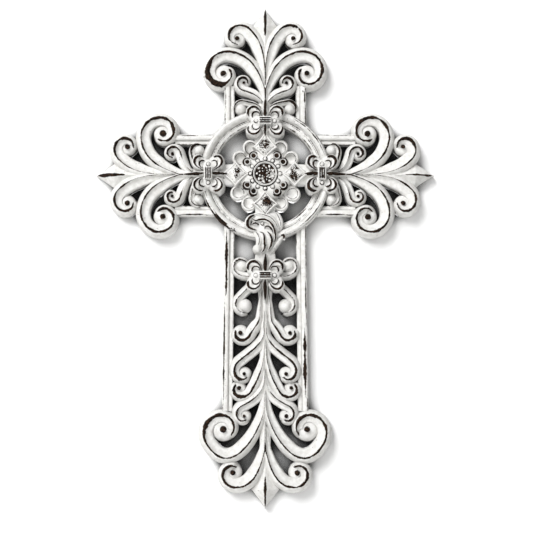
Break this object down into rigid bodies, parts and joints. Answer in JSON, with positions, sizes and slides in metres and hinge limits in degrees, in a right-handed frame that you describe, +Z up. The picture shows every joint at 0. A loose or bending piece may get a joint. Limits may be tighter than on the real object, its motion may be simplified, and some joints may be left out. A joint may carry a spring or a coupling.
{
  "type": "openwork wall cross",
  "caption": "Openwork wall cross of cast scrolls with a ring and a jewelled rosette at the crossing, in worn white paint over brown.",
  "frame": {"origin": "hanging place: on the flat back, on the middle line, 62 mm above the centre of the crossing", "axes": "+Z up the upright, +Y out of the flat back towards the wall, carved front towards -Y, +X along the right arm"},
  "size_m": [0.3092, 0.0307, 0.4598],
  "materials": {
    "distressed_white_paint": "chalky white paint rubbed through to dark brown along the crests, eyes and edges"
  },
  "bodies": {
    "root": {"cross": "distressed_white_paint"}
  },
  "joints": []
}
